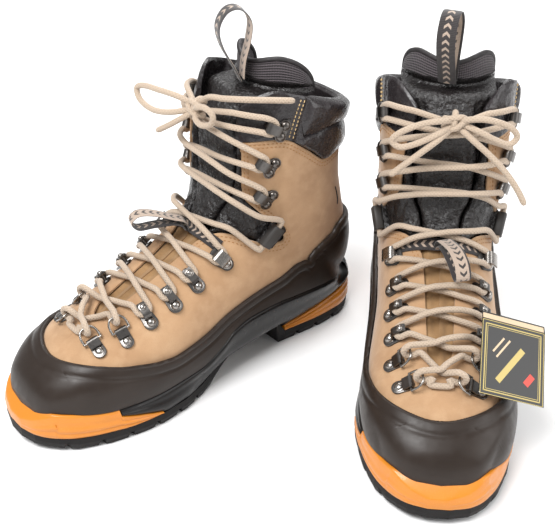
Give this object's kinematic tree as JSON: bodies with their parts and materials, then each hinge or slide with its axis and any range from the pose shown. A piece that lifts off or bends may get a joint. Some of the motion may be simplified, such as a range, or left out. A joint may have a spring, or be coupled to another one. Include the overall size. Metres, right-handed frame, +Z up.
{
  "type": "mountaineering boots",
  "caption": "Pair of high suede mountaineering boots with rubber rands, lugged soles, metal lacing hardware, tied laces, tongue and pull loops.",
  "frame": {"origin": "centre of the bottom of the bounding box of the standing pair, without the laces and bows; z = 0 is the floor", "axes": "+Z up; -Y towards the viewer in front of the toes; +X to the viewer's right, which is the left boot's side"},
  "size_m": [0.3651, 0.2958, 0.2632],
  "materials": {
    "beige_cord": "braided cord",
    "black_card": "laminated card",
    "black_leather": "soft padded grain leather",
    "black_rubber": "matt black rubber",
    "black_webbing": "woven tape",
    "grey_felt": "felt",
    "gunmetal": "dark nickel plated steel",
    "orange_foam": "satin orange, ribbed",
    "rand_rubber": "satin dark brown rubber",
    "tan_suede": "sanded suede"
  },
  "bodies": {
    "right_boot": {"right_bow": "beige_cord", "right_collar": "black_leather", "right_eyestay_lateral": "gunmetal", "right_eyestay_medial": "gunmetal", "right_footbed": "grey_felt", "right_heel_insert": "orange_foam", "right_hooks_lateral": "gunmetal", "right_hooks_medial": "gunmetal", "right_lace": "beige_cord", "right_lining": "black_leather", "right_lock_hook_lateral": "gunmetal", "right_lock_hook_medial": "gunmetal", "right_midsole": "black_rubber", "right_outsole": "black_rubber", "right_rand": "rand_rubber", "right_strap_loop_lateral": "black_rubber", "right_strap_loop_medial": "black_rubber", "right_toe_insert": "orange_foam", "right_tongue_lower": "tan_suede", "right_top_hook_lateral": "gunmetal", "right_top_hook_medial": "gunmetal", "right_upper": "tan_suede"},
    "right_tongue": {"right_tongue_flap": "black_leather"},
    "right_pull_loop": {"right_pull_loop": "black_webbing"},
    "right_keeper_loop": {"right_keeper_loop": "black_webbing"},
    "right_ring_medial_1": {"right_ring_medial_1": "gunmetal"},
    "right_ring_medial_2": {"right_ring_medial_2": "gunmetal"},
    "right_ring_lateral_1": {"right_ring_lateral_1": "gunmetal"},
    "right_ring_lateral_2": {"right_ring_lateral_2": "gunmetal"},
    "left_boot": {"left_bow": "beige_cord", "left_collar": "black_leather", "left_eyestay_lateral": "gunmetal", "left_eyestay_medial": "gunmetal", "left_footbed": "grey_felt", "left_heel_insert": "orange_foam", "left_hooks_lateral": "gunmetal", "left_hooks_medial": "gunmetal", "left_lace": "beige_cord", "left_lining": "black_leather", "left_lock_hook_lateral": "gunmetal", "left_lock_hook_medial": "gunmetal", "left_midsole": "black_rubber", "left_outsole": "black_rubber", "left_rand": "rand_rubber", "left_strap_loop_lateral": "black_rubber", "left_strap_loop_medial": "black_rubber", "left_toe_insert": "orange_foam", "left_tongue_lower": "tan_suede", "left_top_hook_lateral": "gunmetal", "left_top_hook_medial": "gunmetal", "left_upper": "tan_suede"},
    "left_tongue": {"left_tongue_flap": "black_leather"},
    "left_pull_loop": {"left_pull_loop": "black_webbing"},
    "left_keeper_loop": {"left_keeper_loop": "black_webbing"},
    "left_ring_medial_1": {"left_ring_medial_1": "gunmetal"},
    "left_ring_medial_2": {"left_ring_medial_2": "gunmetal"},
    "left_ring_lateral_1": {"left_ring_lateral_1": "gunmetal"},
    "left_ring_lateral_2": {"left_ring_lateral_2": "gunmetal"},
    "hang_tag": {"left_hang_tag": "black_card"}
  },
  "joints": [
    {"name": "left_boot_lift", "type": "slide", "parent": "right_boot", "child": "left_boot", "axis": [0, 0, 1], "range_m": [0, 0.3]},
    {"name": "right_tongue_lean", "type": "hinge", "parent": "right_boot", "child": "right_tongue", "pos_m": [-0.04776, 0.03526, 0.113], "axis": [0.6481, -0.7615, 0], "range_deg": [-9, 0.3]},
    {"name": "right_pull_loop_swing", "type": "hinge", "parent": "right_tongue", "child": "right_pull_loop", "pos_m": [-0.01878, 0.05598, 0.214], "axis": [0.6481, -0.7615, 0], "range_deg": [-8, 45]},
    {"name": "right_keeper_swing", "type": "hinge", "parent": "right_boot", "child": "right_keeper_loop", "pos_m": [-0.05632, 0.02812, 0.11264], "axis": [0.3505, -0.9366, 0], "range_deg": [-10, 0]},
    {"name": "right_ring_medial_1_swivel", "type": "hinge", "parent": "right_boot", "child": "right_ring_medial_1", "pos_m": [-0.11654, -0.04743, 0.06828], "axis": [0.8163, 0.4954, 0.2971], "range_deg": [-4, 4]},
    {"name": "right_ring_medial_2_swivel", "type": "hinge", "parent": "right_boot", "child": "right_ring_medial_2", "pos_m": [-0.09813, -0.04084, 0.07208], "axis": [0.8367, 0.4919, 0.2407], "range_deg": [-4, 4]},
    {"name": "right_ring_lateral_1_swivel", "type": "hinge", "parent": "right_boot", "child": "right_ring_lateral_1", "pos_m": [-0.14131, -0.01834, 0.06824], "axis": [-0.6235, -0.7216, -0.3009], "range_deg": [-4, 4]},
    {"name": "right_ring_lateral_2_swivel", "type": "hinge", "parent": "right_boot", "child": "right_ring_lateral_2", "pos_m": [-0.13206, -0.00098, 0.07203], "axis": [-0.6228, -0.7417, -0.2489], "range_deg": [-4, 4]},
    {"name": "left_tongue_lean", "type": "hinge", "parent": "left_boot", "child": "left_tongue", "pos_m": [0.12067, 0.01279, 0.113], "axis": [0.9949, -0.1011, 0], "range_deg": [-9, 0.3]},
    {"name": "left_pull_loop_swing", "type": "hinge", "parent": "left_tongue", "child": "left_pull_loop", "pos_m": [0.12127, 0.04841, 0.214], "axis": [0.9949, -0.1011, 0], "range_deg": [-8, 45]},
    {"name": "left_keeper_swing", "type": "hinge", "parent": "left_boot", "child": "left_keeper_loop", "pos_m": [0.11965, 0.00169, 0.11264], "axis": [0.9699, 0.2434, 0], "range_deg": [-10, 0]},
    {"name": "left_ring_medial_1_swivel", "type": "hinge", "parent": "left_boot", "child": "left_ring_medial_1", "pos_m": [0.09166, -0.09079, 0.06828], "axis": [0.0557, -0.9532, -0.2971], "range_deg": [-4, 4]},
    {"name": "left_ring_medial_2_swivel", "type": "hinge", "parent": "left_boot", "child": "left_ring_medial_2", "pos_m": [0.08663, -0.07189, 0.07208], "axis": [0.0702, -0.968, -0.2407], "range_deg": [-4, 4]},
    {"name": "left_ring_lateral_1_swivel", "type": "hinge", "parent": "left_boot", "child": "left_ring_lateral_1", "pos_m": [0.12967, -0.09465, 0.06824], "axis": [0.2399, 0.923, 0.3009], "range_deg": [-4, 4]},
    {"name": "left_ring_lateral_2_swivel", "type": "hinge", "parent": "left_boot", "child": "left_ring_lateral_2", "pos_m": [0.13871, -0.07719, 0.07203], "axis": [0.2568, 0.9338, 0.2489], "range_deg": [-4, 4]},
    {"name": "hang_tag_swing", "type": "hinge", "parent": "left_boot", "child": "hang_tag", "pos_m": [0.13727, -0.06127, 0.096], "axis": [-0.9274, -0.1061, 0.3588], "range_deg": [0, 60]}
  ]
}
